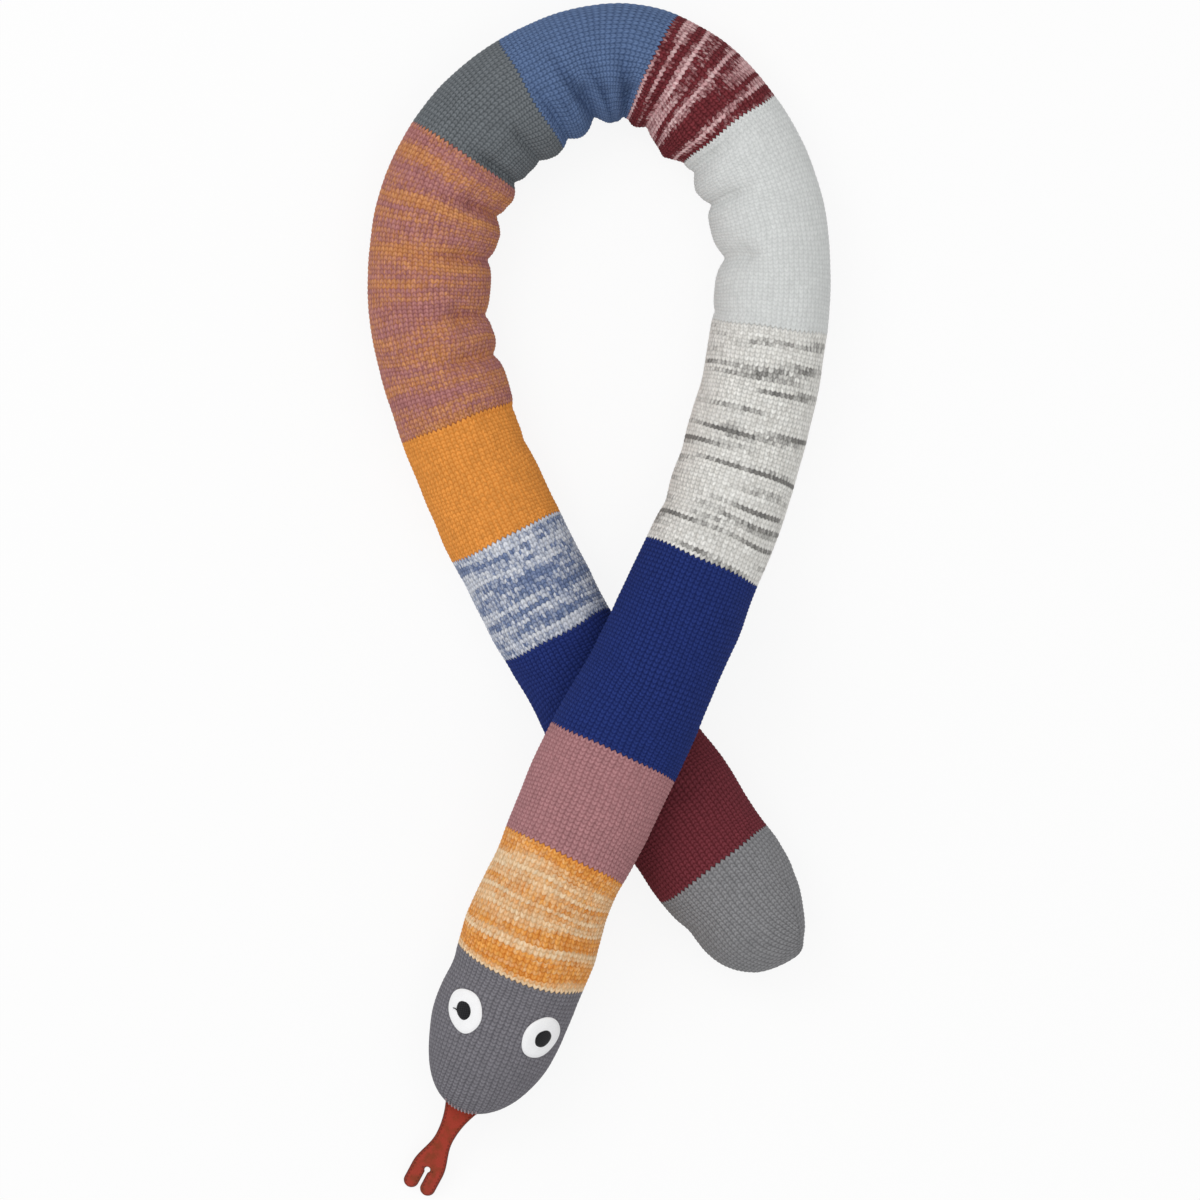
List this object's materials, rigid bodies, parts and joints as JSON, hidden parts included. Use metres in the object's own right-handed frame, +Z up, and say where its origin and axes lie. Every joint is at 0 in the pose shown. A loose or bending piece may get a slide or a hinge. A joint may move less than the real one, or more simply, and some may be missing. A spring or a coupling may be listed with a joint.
{
  "type": "stuffed snake toy",
  "caption": "Long knitted and stuffed toy snake in colour bands, lying in a loop with its head end over its tail end, with sewn eyes and a forked tongue.",
  "frame": {"origin": "middle of the lying toy's box, at the surface that it lies on", "axes": "+Y from the head end to the top of the loop, +Z up"},
  "size_m": [0.3323, 0.8619, 0.1337],
  "materials": {
    "grey_knit": "soft, knitted stocking stitch",
    "orange_marl_knit": "soft, knitted stocking stitch",
    "mauve_knit": "soft, knitted stocking stitch",
    "royal_blue_knit": "soft, knitted stocking stitch",
    "white_marl_knit": "soft, knitted stocking stitch",
    "pale_grey_knit": "soft, knitted stocking stitch",
    "burgundy_marl_knit": "soft, knitted stocking stitch",
    "denim_blue_knit": "soft, knitted stocking stitch",
    "slate_knit": "soft, knitted stocking stitch",
    "rust_marl_knit": "soft, knitted stocking stitch",
    "mustard_knit": "soft, knitted stocking stitch",
    "denim_marl_knit": "soft, knitted stocking stitch",
    "burgundy_knit": "soft, knitted stocking stitch",
    "white_felt": "soft white patch",
    "black_yarn": "black sewn yarn",
    "rust_felt": "soft, sewn edges",
    "filling_fibre": "loose polyester fibre"
  },
  "bodies": {
    "loop": {"pale_grey_band": "pale_grey_knit", "burgundy_marl_band": "burgundy_marl_knit", "denim_band": "denim_blue_knit", "slate_band": "slate_knit", "rust_marl_band": "rust_marl_knit", "mustard_band": "mustard_knit", "denim_marl_band": "denim_marl_knit", "rear_blue_band": "royal_blue_knit", "burgundy_band": "burgundy_knit", "shoulder_filling": "filling_fibre", "loop_filling": "filling_fibre", "rump_filling": "filling_fibre"},
    "front": {"white_marl_band": "white_marl_knit", "royal_blue_band": "royal_blue_knit", "mauve_band": "mauve_knit", "front_filling": "filling_fibre", "throat_filling": "filling_fibre"},
    "neck": {"orange_marl_band": "orange_marl_knit", "neck_filling": "filling_fibre"},
    "head": {"head_cover": "grey_knit", "left_eye_white": "white_felt", "right_eye_white": "white_felt", "left_pupil": "black_yarn", "right_pupil": "black_yarn", "head_filling": "filling_fibre"},
    "tongue": {"tongue": "rust_felt"},
    "tail": {"tail_cover": "grey_knit", "tail_filling": "filling_fibre"}
  },
  "joints": [
    {"name": "front_lift", "type": "hinge", "parent": "loop", "child": "front", "pos_m": [0.1225, 0.2705, 0.039], "axis": [-0.96, 0.28, 0], "range_deg": [0, 30], "deforming": ["pale_grey_band", "shoulder_filling"]},
    {"name": "head_lift", "type": "hinge", "parent": "front", "child": "neck", "pos_m": [-0.0065, -0.145, 0.0912], "axis": [-0.9102, 0.4141, 0], "range_deg": [0, 35], "deforming": ["mauve_band", "throat_filling"]},
    {"name": "head_turn", "type": "hinge", "parent": "neck", "child": "head", "pos_m": [-0.0416, -0.2224, 0.0586], "axis": [0, 0, 1], "range_deg": [-30, 30], "deforming": ["orange_marl_band", "neck_filling"]},
    {"name": "tongue_flap", "type": "hinge", "parent": "head", "child": "tongue", "pos_m": [-0.0994, -0.3656, 0.0315], "axis": [-0.8722, 0.4891, 0], "range_deg": [0, 60]},
    {"name": "tail_turn", "type": "hinge", "parent": "loop", "child": "tail", "pos_m": [0.0559, -0.1519, 0.04], "axis": [0, 0, 1], "range_deg": [-12, 35], "deforming": ["burgundy_band", "rump_filling"]}
  ]
}
